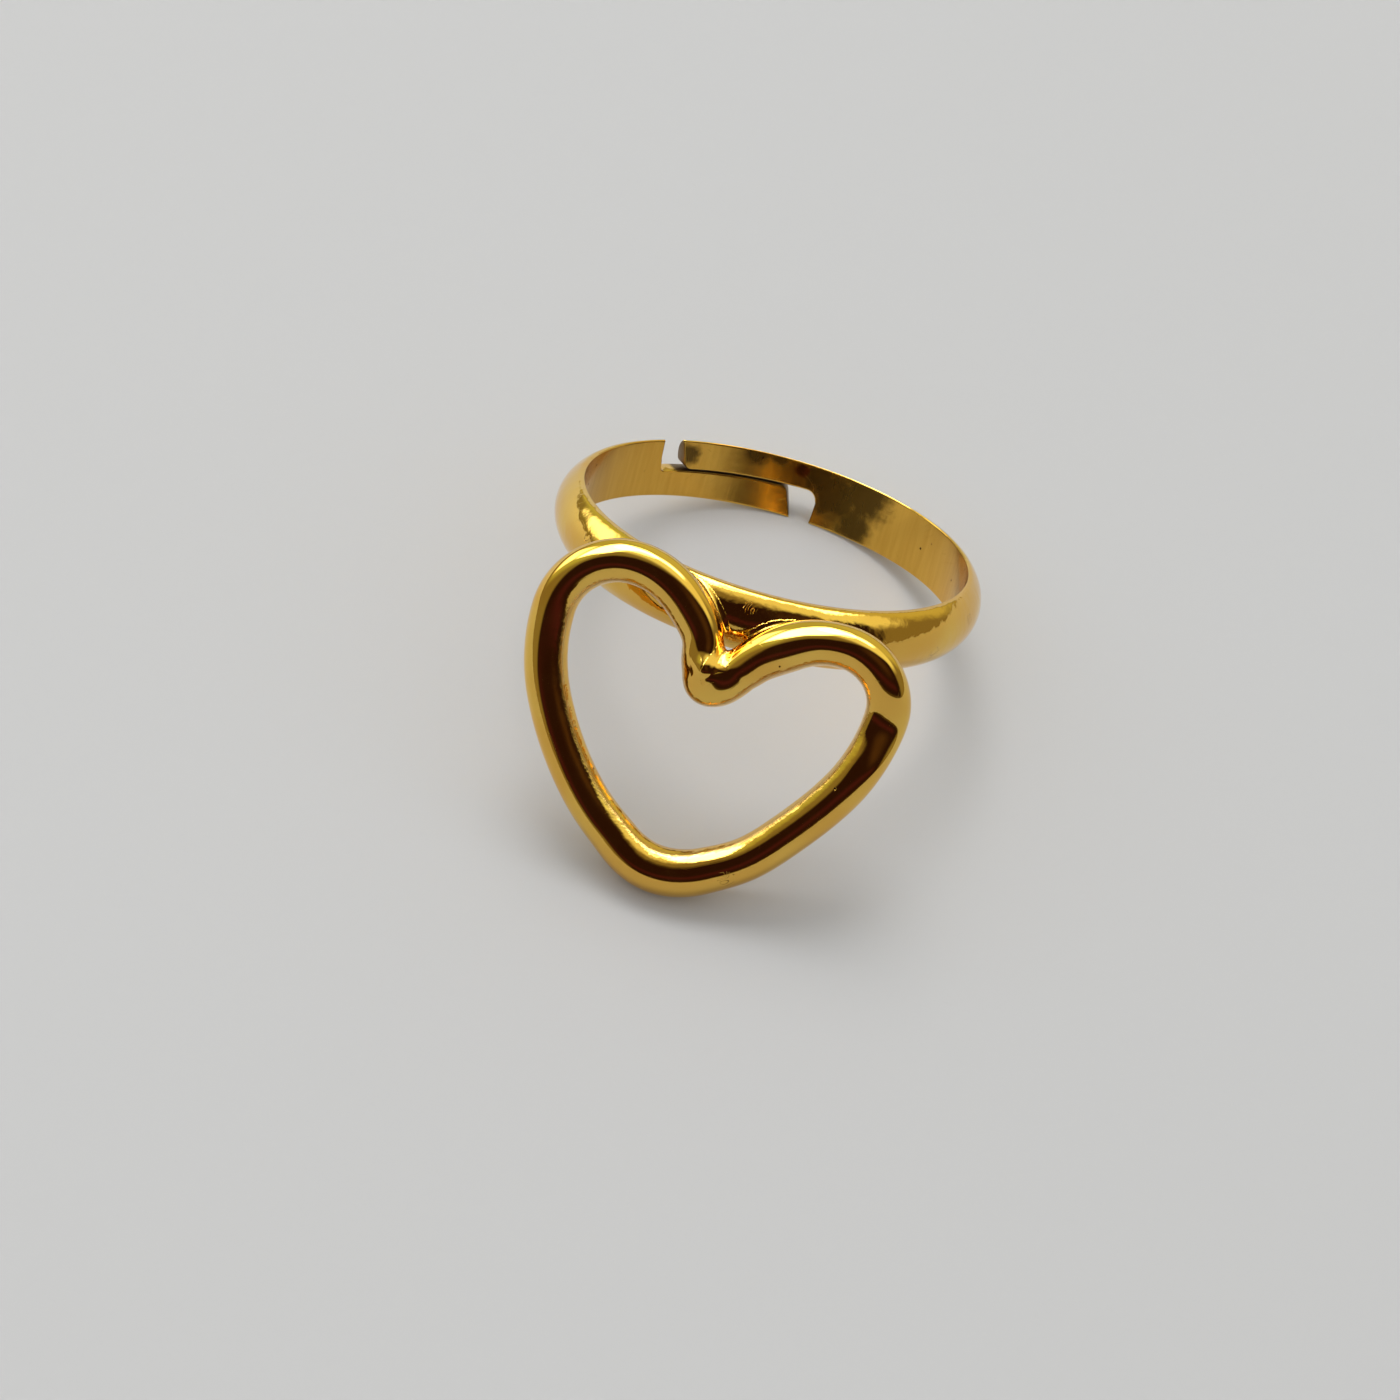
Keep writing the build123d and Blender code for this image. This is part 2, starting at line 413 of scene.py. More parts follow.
def half_line(side):
    """Points from the tip to a lobe's top, and that top."""
    chain = (
        (TIP_RADIUS, TIP_TURN),
        (LOW_FLANK, FLANK_TURN - TIP_TURN),
        (HIGH_FLANK, pi / 2 - FLANK_TURN),
        (LOBES[side], pi / 2),
    )
    here, heading, points = Vector((0, TIP_HEIGHT)), 0, []
    for radius, turn in chain:
        centre = here + Matrix.Rotation(side * heading, 2) @ Vector((0, radius))
        points += arc_points(centre, here, side * turn)
        here = centre + Matrix.Rotation(side * turn, 2) @ (here - centre)
        heading += turn
    return points, here


right_line, right_top = half_line(1)
left_line, left_top = half_line(-1)
print("the lobes' tops are at", [round(c, 2) for c in right_top], [round(c, 2) for c in left_top])

# %% Where the fold lies
# The fold's arc touches both crown arcs, so its middle is where two larger circles cross.
FOLD = WIRE + 0.082   # radius of the wire's centre line in the fold
right_crown = right_top - Vector((0, CROWNS[1]))
left_crown = left_top - Vector((0, CROWNS[-1]))
right_reach, left_reach = CROWNS[1] + FOLD, CROWNS[-1] + FOLD
between = left_crown - right_crown
along = (right_reach**2 - left_reach**2 + between.length**2) / (2 * between.length)
above = sqrt(right_reach**2 - along**2)
fold = right_crown + between.normalized() * along - between.orthogonal().normalized() * above
right_end = fold + (right_crown - fold).normalized() * FOLD
left_end = fold + (left_crown - fold).normalized() * FOLD
print("fold at", [round(c, 3) for c in fold])


# %% Join the heart's line
def turn_between(centre, start, end):
    """Turn that leads from one point of a circle to another, positive to the left."""
    u, v = start - centre, end - centre
    return atan2(u.x * v.y - u.y * v.x, u.dot(v))


line = list(right_line)
for centre, start, end in ((right_crown, right_top, right_end), (fold, right_end, left_end),
                           (left_crown, left_end, left_top)):
    line += arc_points(centre, start, turn_between(centre, start, end))
line += [left_top] + left_line[:0:-1]
print("heart line points", len(line))

# %% [markdown]
# ## Marks of the hand
# A perfect line looks drawn by machine.  The real wire is squeezed thinner where it runs down to
# the fold, swells beside it, and is pressed to a corner at the fold and at the tip.  Sculpting
# could do that, but nobody could repeat it or take one mark back.  So each mark is one row of a
# short list, which nudges the line and its thickness around a place and fades out smoothly.

# %% Nudges along the wire
# where on the drawing, how far it reaches, thicker by, moved right and up
NUDGES = (
    ((-1.1, -0.9), 1.1, -0.05, (0.27, 0)),
    ((-0.25, -2.5), 0.75, -0.04, (-0.06, -0.20)),
    ((-0.7, -1.95), 0.5, -0.08, (0.16, 0)),
    ((0.8, -2.0), 0.55, -0.03, (0, 0.17)),
    ((2.4, -0.1), 1.3, 0.11, (0.03, -0.10)),
    ((-1.9, -10.0), 1.3, 0, (0.03, 0.10)),
    ((3.6, -9.0), 1.7, 0, (0.07, -0.16)),
    ((0.2, -10.4), 2.4, 0.11, (0, 0)),
)
HEART_LEAN = radians(11.34)   # the tip stands further out than the lobes
HEART_SHIFT = 0.59            # to the right of the band's middle
SOLDER_SINK = 0.52            # how far the wire stands into the band
HEART_START = Vector((HEART_SHIFT, -(CROWN + FRONT_OFFSET + WIRE - SOLDER_SINK), 0))
HEART_UP = Vector((0, sin(HEART_LEAN), cos(HEART_LEAN)))
HEART_FACE = Vector((0, -cos(HEART_LEAN), sin(HEART_LEAN)))


def on_heart_plane(point):
    """A point of the drawing on the leaning plane, and the wire's radius there."""
    place, radius = HEART_START + Vector((point.x, 0, 0)) + HEART_UP * point.y, WIRE
    for where, reach, thicker, (right, higher) in NUDGES:
        near = exp(-((point - Vector(where)).length / reach) ** 2)
        place += near * (Vector((right, 0, 0)) + higher * HEART_UP)
        radius += near * thicker
    return place, radius


wire_radii = [on_heart_plane(point)[1] for point in line]
print("the wire's radius runs from", round(min(wire_radii), 3), "to", round(max(wire_radii), 3))

# %% [markdown]
# ## Bends out of the heart's plane
# A wire bent by hand never lies quite flat.  Seen from the front, such bends hardly move the
# outline, but polished metal shows them at once, because they tilt what it mirrors.  The line
# could be drawn in three dimensions.  It is easier to keep the drawing flat and to push the
# points of the finished mesh forward or back by smooth hills, each with a place and a reach.

# %% Bends out of the heart's plane
# where on the drawing, how far it reaches, how far forward
BENDS = (
    ((-0.3, -1.85), 0.6, 0.48),
    ((4.9, 1.3), 1.5, 0.2),
    ((7.7, -1.6), 2.0, -0.35),
    ((7.8, -1.9), 1.2, -0.45),
    ((0.2, -10.4), 2.4, 0.17),
)
print("bends", len(BENDS), "the largest by", max(abs(far) for where, reach, far in BENDS), "mm")


def bend(places):
    """How far the heart is bent forward at places in the finger's frame."""
    drawn = (places - np.array(HEART_START)) @ np.array((Vector((1, 0, 0)), HEART_UP)).T
    forward = 0
    for where, reach, far in BENDS:
        forward = forward + far * np.exp(-np.sum((drawn - where) ** 2, axis=1) / reach**2)
    return forward[:, None] * np.array(HEART_FACE)

# %% [markdown]
# ## The wire from a node tree
# A wire is a circle drawn along a line.  A curve's own bevel could do it, but Geometry Nodes keep
# the line, its thickness at every point and the roundness as named inputs, so that the same tree
# makes any other bent wire.

# %% Small helpers for node trees
def calculate(tree, operation, *values, kind="ShaderNodeMath"):
    """Add a math node, feed it numbers or sockets, and give its result."""
    node = tree.nodes.new(kind)
    node.operation = operation
    for socket, value in zip(node.inputs, values):
        if isinstance(value, bpy.types.NodeSocket):
            tree.links.new(value, socket)
        else:
            socket.default_value = value
    gives_number = kind == "ShaderNodeMath" or operation in ("DOT_PRODUCT", "DISTANCE")
    return node.outputs["Value" if gives_number else "Vector"]


def with_vectors(tree, operation, *values):
    """Add a vector math node, feed it vectors or sockets, and give its result."""
    return calculate(tree, operation, *values, kind="ShaderNodeVectorMath")


# %% The wire's node tree
tree = bpy.data.node_groups.new("bent_wire", "GeometryNodeTree")
sockets = {}
for name, kind in (("Geometry", "NodeSocketGeometry"), ("Points Round", "NodeSocketInt"),
                   ("Metal", "NodeSocketMaterial")):
    sockets[name] = tree.interface.new_socket(name, in_out="INPUT", socket_type=kind)
tree.interface.new_socket("Geometry", in_out="OUTPUT", socket_type="NodeSocketGeometry")
entry, leave = tree.nodes.new("NodeGroupInput"), tree.nodes.new("NodeGroupOutput")
circle = tree.nodes.new("GeometryNodeCurvePrimitiveCircle")
tree.links.new(entry.outputs["Points Round"], circle.inputs["Resolution"])
sweep = tree.nodes.new("GeometryNodeCurveToMesh")
tree.links.new(entry.outputs["Geometry"], sweep.inputs["Curve"])
tree.links.new(circle.outputs["Curve"], sweep.inputs["Profile Curve"])
tree.links.new(tree.nodes.new("GeometryNodeInputRadius").outputs[0], sweep.inputs["Scale"])
whole = tree.nodes.new("GeometryNodeRealizeInstances")
tree.links.new(sweep.outputs["Mesh"], whole.inputs[0])
coat = tree.nodes.new("GeometryNodeSetMaterial")
tree.links.new(whole.outputs[0], coat.inputs["Geometry"])
tree.links.new(entry.outputs["Metal"], coat.inputs["Material"])
tree.links.new(coat.outputs[0], leave.inputs[0])
print("node tree", tree.name, "with", len(tree.nodes), "nodes")

# %% [markdown]
# ## Gold-tone finishes
# The ring is a gold-tone alloy, buffed on a soft wheel.  The polish is never perfect: the wheel
# leaves a faint waviness like orange peel, pits stay open, and wear adds hairline scratches.
# Image textures could show that, but would blur up close.  So each kind of mark is one group of
# shader nodes, measured in millimetres in the finger's frame, which every finish uses with its
# own values.

# %% Helpers for the groups of marks
def start_group(name, numbers, output):
    """A shader group that takes a Place in millimetres and some numbers, and gives one value."""
    group = bpy.data.node_groups.new(name, "ShaderNodeTree")
    group.interface.new_socket("Place", in_out="INPUT", socket_type="NodeSocketVector")
    for label, size in numbers.items():
        kind = "NodeSocketVector" if isinstance(size, tuple) else "NodeSocketFloat"
        group.interface.new_socket(label, in_out="INPUT", socket_type=kind).default_value = size
    group.interface.new_socket(output, in_out="OUTPUT", socket_type="NodeSocketFloat")
    print("group", name, "with", list(numbers))
    return group, group.nodes.new("NodeGroupInput").outputs, group.nodes.new("NodeGroupOutput").inputs[0]


def noise(group, place, scale, detail=2.0):
    """Cloudy noise between 0 and 1."""
    node = group.nodes.new("ShaderNodeTexNoise")
    node.inputs["Detail"].default_value = detail
    group.links.new(place, node.inputs["Vector"])
    if isinstance(scale, bpy.types.NodeSocket):
        group.links.new(scale, node.inputs["Scale"])
    else:
        node.inputs["Scale"].default_value = scale
    return node.outputs["Fac"]


def fade(group, value, empty, full):
    """0 at the first limit and 1 at the second, smooth in between."""
    node = group.nodes.new("ShaderNodeMapRange")
    node.interpolation_type = "SMOOTHSTEP"
    for label, limit in (("From Min", empty), ("From Max", full)):
        if isinstance(limit, bpy.types.NodeSocket):
            group.links.new(limit, node.inputs[label])
        else:
            node.inputs[label].default_value = limit
    group.links.new(value, node.inputs["Value"])
    return node.outputs["Result"]


# %% Polish waves
SHORT_WAVE_SHARE = 0.22   # the short waves are this much as deep as the long ones
waves, put, give = start_group(
    "polish_waves", {"Long Wave": 1.6, "Short Wave": 0.35, "Depth": 0.006}, "Height")
slow = noise(waves, put["Place"], calculate(waves, "DIVIDE", 1, put["Long Wave"]), 1)
quick = noise(waves, put["Place"], calculate(waves, "DIVIDE", 1, put["Short Wave"]), 1)
mixed = calculate(waves, "MULTIPLY_ADD", quick, SHORT_WAVE_SHARE, slow)
waves.links.new(calculate(waves, "MULTIPLY", mixed, put["Depth"]), give)

# %% Pits
pits, put, give = start_group("pits", {"Spacing": 0.5, "Share": 0.1, "Size": 0.15}, "Mask")
cells = pits.nodes.new("ShaderNodeTexVoronoi")
pits.links.new(put["Place"], cells.inputs["Vector"])
pits.links.new(calculate(pits, "DIVIDE", 1, put["Spacing"]), cells.inputs["Scale"])
chance = pits.nodes.new("ShaderNodeSeparateColor")
pits.links.new(cells.outputs["Color"], chance.inputs["Color"])
picked = calculate(pits, "LESS_THAN", chance.outputs[0], put["Share"])
spot = fade(pits, cells.outputs["Distance"], put["Size"], calculate(pits, "MULTIPLY", put["Size"], 0.5))
pits.links.new(calculate(pits, "MULTIPLY", picked, spot), give)

# %% Hairline scratches
# A slow noise is folded to and fro, and each fold leaves a thin line along the noise's contours.
FOLDS = 9
hairlines, put, give = start_group(
    "hairlines", {"Length": 2.0, "Width": 0.02, "Share": 0.4}, "Mask")
drift = noise(hairlines, put["Place"], calculate(hairlines, "DIVIDE", 1, put["Length"]), 0)
level = calculate(hairlines, "PINGPONG", calculate(hairlines, "MULTIPLY", drift, FOLDS), 0.5)
thin = fade(hairlines, level, put["Width"], 0)
area = noise(hairlines, put["Place"], calculate(hairlines, "DIVIDE", 1.9, put["Length"]), 1)
there = calculate(hairlines, "LESS_THAN", area, put["Share"])
hairlines.links.new(calculate(hairlines, "MULTIPLY", thin, there), give)

# %% A place with a soft ragged edge
patch, put, give = start_group(
    "patch", {"Centre": (0.0, 0.0, 0.0), "Radius": 0.5, "Core": 0.5, "Ragged": 0.5}, "Mask")
reach = with_vectors(patch, "DISTANCE", put["Place"], put["Centre"])
reach = calculate(patch, "DIVIDE", reach, put["Radius"])
edge = calculate(patch, "SUBTRACT", noise(patch, put["Place"], 3.0, 3), 0.5)
reach = calculate(patch, "MULTIPLY_ADD", edge, put["Ragged"], reach)
patch.links.new(fade(patch, reach, 1.0, put["Core"]), give)


# %% Helpers for the finishes
def new_metal(name, colour, roughness):
    """A metal with its shader, and the place on the ring in millimetres."""
    metal = bpy.data.materials.new(name)
    metal.use_nodes = True
    nodes = metal.node_tree
    shader = nodes.nodes["Principled BSDF"]
    shader.inputs["Base Color"].default_value = (*colour, 1)
    shader.inputs["Metallic"].default_value = 1
    shader.inputs["Roughness"].default_value = roughness
    upright = nodes.nodes.new("ShaderNodeMapping")
    upright.inputs["Scale"].default_value = [1 / MILLIMETRE] * 3
    upright.inputs["Rotation"].default_value = (REST_TILT, 0, 0)
    start = -(Matrix.Rotation(REST_TILT, 3, "X") @ TABLE_SHIFT)
    upright.inputs["Location"].default_value = start
    nodes.links.new(nodes.nodes.new("ShaderNodeTexCoord").outputs["Object"], upright.inputs["Vector"])
    return metal, nodes, shader, upright.outputs[0]


def marked(nodes, group, place, values):
    """Place a group of marks in a finish, with its own values."""
    node = nodes.nodes.new("ShaderNodeGroup")
    node.node_tree = group
    nodes.links.new(place, node.inputs["Place"])
    for label, value in values.items():
        node.inputs[label].default_value = value
    return node.outputs[0]


def any_patch(nodes, place, patches, **values):
    """1 inside any of some patches, each given as its centre and its radius."""
    mask = None
    for centre, radius in patches:
        one = marked(nodes, patch, place, {"Centre": centre, "Radius": radius, **values})
        mask = calculate(nodes, "MAXIMUM", one, mask) if mask else one
    return mask


# %% Helpers for colour, gloss and relief
def tinted(nodes, mask, under, colour):
    """Lay a colour over another where the mask is 1."""
    node = nodes.nodes.new("ShaderNodeMix")
    node.data_type = "RGBA"
    nodes.links.new(mask, node.inputs["Factor"])
    for socket, value in ((node.inputs["A"], under), (node.inputs["B"], colour)):
        if isinstance(value, bpy.types.NodeSocket):
            nodes.links.new(value, socket)
        else:
            socket.default_value = (*value, 1)
    return node.outputs["Result"]


def sum_of(nodes, *parts):
    """Weighted sum of values, each given as (value, weight)."""
    total = 0.0
    for value, weight in parts:
        total = calculate(nodes, "MULTIPLY_ADD", value, weight, total)
    return total


def read(nodes, name):
    """A number stored on the mesh."""
    node = nodes.nodes.new("ShaderNodeAttribute")
    node.attribute_name = name
    return node.outputs["Fac"]


def relief(nodes, shader, height):
    """Turn a height in millimetres into a bumpy surface."""
    bump = nodes.nodes.new("ShaderNodeBump")
    bump.inputs["Distance"].default_value = MILLIMETRE
    nodes.links.new(height, bump.inputs["Height"])
    nodes.links.new(bump.outputs[0], shader.inputs["Normal"])

# %% [markdown]
# ## Polished outside
# The wheel reaches the front of the wire and the dome of the band, and leaves them like mirrors.
# It slips over the inside of the heart, which stays uneven, and can't get into the fold, where
# the metal keeps a rough dull skin.  One even gloss would look like foil.  So the finish reads
# numbers stored on the mesh, which say how far the wheel came, and lays the marks over that.

# %% Polished gold
GOLD, DEEP_GOLD, RAW_GOLD = (0.86, 0.55, 0.11), (0.82, 0.48, 0.09), (0.62, 0.40, 0.15)
# DARK is for pits and knocks; the second colour is shade painted on the slit's walls
DARK, SHADE_IN_SPLIT = (0.06, 0.02, 0.006), (0.09, 0.045, 0.012)
# where the ring was knocked, and how far each knock reaches
KNOCKS = (
    ((3.75, -12.75, -9.62), 0.45),
    ((8.45, -4.17, -0.45), 0.4),
    ((9.23, -1.46, 0.54), 0.35),
    ((-6.63, -6.73, 0.49), 0.4),
    ((1.1, -9.27, 0.84), 0.35),
)
polished, nodes, shader, place = new_metal("polished_gold", GOLD, 0.06)
uneven, unpolished, split_shade = (read(nodes, name) for name in ("uneven", "unpolished", "split_shade"))
open_pits = marked(nodes, pits, place, {"Spacing": 0.62, "Share": 0.10, "Size": 0.11})
lines = marked(nodes, hairlines, place, {"Length": 3.1, "Width": 0.008, "Share": 0.40})
nicks = marked(nodes, hairlines, place, {"Length": 0.55, "Width": 0.09, "Share": 0.7})
knocked = calculate(nodes, "MULTIPLY", any_patch(nodes, place, KNOCKS, Ragged=0.9), nicks)

# %% Colour of the polished gold
hue = tinted(nodes, fade(nodes, noise(nodes, place, 0.35, 1), 0.35, 0.65), GOLD, DEEP_GOLD)
hue = tinted(nodes, unpolished, hue, RAW_GOLD)
hue = tinted(nodes, calculate(nodes, "MAXIMUM", knocked, open_pits), hue, DARK)
# painted shade: the walls of the slit are darkened as if in shade
hue = tinted(nodes, calculate(nodes, "MULTIPLY", split_shade, 0.9), hue, SHADE_IN_SPLIT)
nodes.links.new(hue, shader.inputs["Base Color"])

# %% Gloss and relief of the polished gold
smear = fade(nodes, noise(nodes, place, 0.9, 2), 0.45, 0.75)
gloss = sum_of(nodes, (smear, 0.05), (lines, 0.05), (knocked, 0.3), (unpolished, 0.26),
               (uneven, 0.03), (split_shade, 0.3), (1.0, 0.04))
nodes.links.new(gloss, shader.inputs["Roughness"])
soft = marked(nodes, waves, place, {"Long Wave": 1.9, "Short Wave": 0.5, "Depth": 0.006})
peel = marked(nodes, waves, place, {"Long Wave": 0.6, "Short Wave": 0.2, "Depth": 0.04})
peel = calculate(nodes, "MULTIPLY", peel, uneven)
grain = calculate(nodes, "MULTIPLY", unpolished, noise(nodes, place, 7, 3))
grit = calculate(nodes, "MULTIPLY", uneven, noise(nodes, place, 4.5, 3))
height = sum_of(nodes, (soft, 1), (peel, 1), (open_pits, -0.01), (lines, -0.0006),
                (knocked, -0.02), (grain, 0.035), (grit, 0.008))
relief(nodes, shader, height)
print(polished.name, "has", len(nodes.nodes), "nodes")

# %% [markdown]
# ## Satin inside
# The inside of the band rubs on the finger and is only brushed, so it shows fine streaks across
# the band.  Near the split it is darker and browner in soft patches.  An anisotropic gloss could
# show the brushing, but the streaks are seen one by one here.  So a squeezed noise makes them,
# and a short list of ragged patches darkens the inside.

# %% Satin gold
# where the inside is darker, and how far each patch reaches
DARK_PATCHES = (
    ((-5.5, 6.48, 0.7), 0.75),
    ((-2.75, 8.05, 1.25), 0.9),
    ((-1.7, 8.3, 1.3), 0.6),
    ((0.2, 8.5, 0.9), 1.0),
    ((1.1, 8.4, 0.3), 1.7),
    ((2.4, 8.1, 0.9), 1.75),
    ((2.2, 8.2, -0.7), 1.2),
)
RED_SPOT = (((-0.66, 8.47, 0.96), 0.38),)
SATIN, DEEP_SATIN = (0.79, 0.46, 0.08), (0.71, 0.40, 0.065)
PATCH_BROWN, RED = (0.10, 0.058, 0.014), (0.20, 0.03, 0.012)
ACROSS = (1, 1, 0.08)   # noise squeezed this way becomes streaks along the finger
satin, nodes, shader, place = new_metal("satin_gold", SATIN, 0.2)
streaks = noise(nodes, with_vectors(nodes, "MULTIPLY", place, ACROSS), 4.5, 3)
cloud = noise(nodes, place, 0.8, 3)
darkened = any_patch(nodes, place, DARK_PATCHES, Core=0.4, Ragged=0.6)
red = any_patch(nodes, place, RED_SPOT, Ragged=0.6)
lines = marked(nodes, hairlines, place, {"Length": 2.3, "Width": 0.015, "Share": 0.45})
open_pits = marked(nodes, pits, place, {"Spacing": 0.5, "Share": 0.14, "Size": 0.13})

# %% Colour, gloss and relief of the satin gold
hue = tinted(nodes, fade(nodes, streaks, 0.3, 0.75), SATIN, DEEP_SATIN)
hue = tinted(nodes, calculate(nodes, "MULTIPLY", darkened, 0.92), hue, PATCH_BROWN)
hue = tinted(nodes, calculate(nodes, "MULTIPLY", red, 0.8), hue, RED)
hue = tinted(nodes, open_pits, hue, DARK)
nodes.links.new(hue, shader.inputs["Base Color"])
gloss = sum_of(nodes, (streaks, 0.08), (cloud, 0.08), (darkened, 0.12), (lines, 0.05), (1.0, 0.08))
nodes.links.new(gloss, shader.inputs["Roughness"])
soft = marked(nodes, waves, place, {"Long Wave": 2.4, "Short Wave": 0.7, "Depth": 0.014})
relief(nodes, shader, sum_of(nodes, (soft, 1), (streaks, 0.0025), (lines, -0.001), (open_pits, -0.01)))
print(satin.name, "has", len(nodes.nodes), "nodes")

# %% [markdown]
# ## Solder finish
# The solder is a redder gold than the wire.  It set without being touched again, so it is rough
# and grainy in the middle and takes on the wire's polish where it runs out thin.  One colour for
# all of it would end in a hard line there.  So the mesh carries how far it stands off the metal
# beneath, and the finish fades into the wire's gold by that number.

# %% Solder gold
SOLDER, BURNT_SOLDER = (0.68, 0.45, 0.17), (0.36, 0.18, 0.07)
soldered, nodes, shader, place = new_metal("solder_gold", SOLDER, 0.3)
thick = fade(nodes, read(nodes, "stands_off"), 0.002, 0.045)
blotch = fade(nodes, noise(nodes, place, 3.2, 3), 0.4, 0.65)
hue = tinted(nodes, thick, DEEP_GOLD, tinted(nodes, blotch, SOLDER, BURNT_SOLDER))
nodes.links.new(hue, shader.inputs["Base Color"])
nodes.links.new(sum_of(nodes, (thick, 0.2), (1.0, 0.08)), shader.inputs["Roughness"])
soft = marked(nodes, waves, place, {"Long Wave": 0.7, "Short Wave": 0.2, "Depth": 0.03})
grain = sum_of(nodes, (soft, 1), (noise(nodes, place, 8, 3), 0.02))
relief(nodes, shader, calculate(nodes, "MULTIPLY", thick, grain))
print(soldered.name, "has", len(nodes.nodes), "nodes")

# %% [markdown]
# ## Sweeping the heart
# The drawing becomes a curve whose points carry the wire's radius, and the node tree sweeps it.
# The modifier could stay live, but the bends need the swept points themselves.  So the result is
# stored as a plain mesh, and the modifier is removed.

# %% Draw the line as a curve
drawing = bpy.data.curves.new("heart_line", "CURVE")
drawing.dimensions = "3D"
spline = drawing.splines.new("POLY")
spline.points.add(len(line) - 1)
spline.use_cyclic_u = True
for point, drawn in zip(spline.points, line):
    place, point.radius = on_heart_plane(drawn)
    point.co = (*place, 1)
maker = bpy.data.objects.new("heart_maker", drawing)
scene.collection.objects.link(maker)
print("curve of", len(spline.points), "points")

# %% Sweep the heart
wiring = maker.modifiers.new("wire", "NODES")
wiring.node_group = tree
for name, value in {"Points Round": 112, "Metal": polished}.items():
    wiring[sockets[name].identifier] = value
swept = maker.evaluated_get(bpy.context.evaluated_depsgraph_get())
heart_data = bpy.data.meshes.new_from_object(swept)
maker.modifiers.clear()
bpy.data.objects.remove(maker)
heart_data.name = "heart"

# %% Bend the swept points
skin = np.empty(3 * len(heart_data.vertices))
heart_data.vertices.foreach_get("co", skin)
straight = skin.reshape(-1, 3)
skin = straight + bend(straight)
heart_data.vertices.foreach_set("co", skin.ravel())
heart_data.update()
weigh_up("heart", heart_data)

# %% [markdown]
# ## Solder
# Molten solder runs into narrow gaps and sets with a soft hollow surface.  On the real ring it
# fills the corners between both lobes and the band, and the bottom of the fold.  A boolean would
# leave hard creases there.  So the distances to the two strands and to the band are blended
# smoothly on a fine grid, and the solder is the thin body where that blend is inside.

# %% Distances to wire and band
FAR = 9.0           # stands for any distance that doesn't matter
RIM_SOFTNESS = 0.12
placed = [on_heart_plane(point) for point in line]
centres = np.array([place for place, radius in placed])
radii = np.array([radius for place, radius in placed])


def least(a, b, reach):
    """The smaller of two distances, rounded off where they are nearly equal."""
    near = np.clip(reach - np.abs(a - b), 0, None) / reach
    return np.minimum(a, b) - near**3 * reach / 6


def to_wire(places, first, last):
    """Distance from places to the wire's skin along a stretch of its line."""
    nearest = np.full(len(places), FAR)
    for k in range(first, last):
        step = centres[k + 1] - centres[k]
        along = np.clip((places - centres[k]) @ step / (step @ step), 0, 1)
        off = np.linalg.norm(places - centres[k] - along[:, None] * step, axis=1)
        nearest = np.minimum(nearest, off - radii[k] - along * (radii[k + 1] - radii[k]))
    return nearest


def to_band(places):
    """Distance from places to the band's dome and rims."""
    x, y, z = places.T
    dome = np.hypot(np.hypot(x, y + FRONT_OFFSET) - DOME_RING, z) - DOME
    return -least(-dome, HALF_WIDTH - np.abs(z), RIM_SOFTNESS)


print("band to the fold in mm", round(float(to_band(np.array([on_heart_plane(fold)[0]]))[0]), 2))


# %% Blend the distances
# lengths of wire beside the fold and within it, in points of the line
STRAND, IN_FOLD = 115, 16
FOLD_REACH, BAND_REACH = 0.9, 0.55   # how far apart two skins may be for solder to bridge them
SUNK = 0.004
fold_bottom = fold - Vector((0, FOLD))
bottom = min(range(len(line)), key=lambda i: (line[i] - fold_bottom).length)


def distances(places):
    """Distances to the right strand, the left strand, the fold between them, and the band."""
    upright = places - bend(places)
    right = to_wire(upright, bottom - STRAND, bottom - IN_FOLD)
    left = to_wire(upright, bottom + IN_FOLD, bottom + STRAND)
    folded = to_wire(upright, bottom - IN_FOLD, bottom + IN_FOLD)
    return right, left, folded, to_band(places)


def blend(right, left, folded, band_skin):
    """All of them blended, as solder does, sunk a hair below the skins beside it."""
    wire = np.minimum(folded, least(right, left, FOLD_REACH))
    return least(wire, band_skin, BAND_REACH) + SUNK


print("the fold's lowest point is number", bottom, "of the line")

# %% Sample the blend on a grid
SOLDER_LOW, SOLDER_HIGH = np.array((-4.1, -11.6, -3.4)), np.array((4.5, -8.2, 1.7))
GRID = 0.06
DEPTH = 0.25                             # how deep the body reaches into the metal
BAND_NEAR, STRAND_NEAR = 0.37, 0.64      # only as near as this to two skins at once
FOLD_ROOM = 1.9                          # radius round the fold that is always sampled
counts = np.ceil((SOLDER_HIGH - SOLDER_LOW) / GRID).astype(int)
places = SOLDER_LOW + GRID * np.indices(counts).reshape(3, -1).T
fold_place = on_heart_plane(fold)[0]
fold_place += Vector(bend(np.array([fold_place]))[0])
from_fold = np.linalg.norm(places - np.array(fold_place), axis=1)
close = (np.abs(to_band(places)) < BAND_REACH + 0.1) | (from_fold < FOLD_ROOM)
right, left, folded, band_skin = distances(places[close])
wire_skin = np.minimum(folded, np.minimum(right, left))
body = np.maximum(blend(right, left, folded, band_skin), -DEPTH - np.minimum(wire_skin, band_skin))
near_band = np.maximum(wire_skin, band_skin) - BAND_NEAR
near_strand = np.maximum(right, left) - STRAND_NEAR
field = np.full(len(places), 1.0)
field[close] = np.maximum(body, np.minimum(near_band, near_strand))
field = field.reshape(counts)
print("grid", list(counts), "near the joint", int(close.sum()), "inside", int((field < 0).sum()))

# %% [markdown]
# ## From samples to a mesh
# A grid of samples is not a surface yet.  The usual way is marching cubes, which leaves thin
# slivers that spoil a gloss.  Surface nets are gentler: they put one point in every cell that
# the surface crosses, and a last step slides each point onto the exact blend.

# %% Part samples that touch only across a corner
JUST_OUTSIDE = 0.02


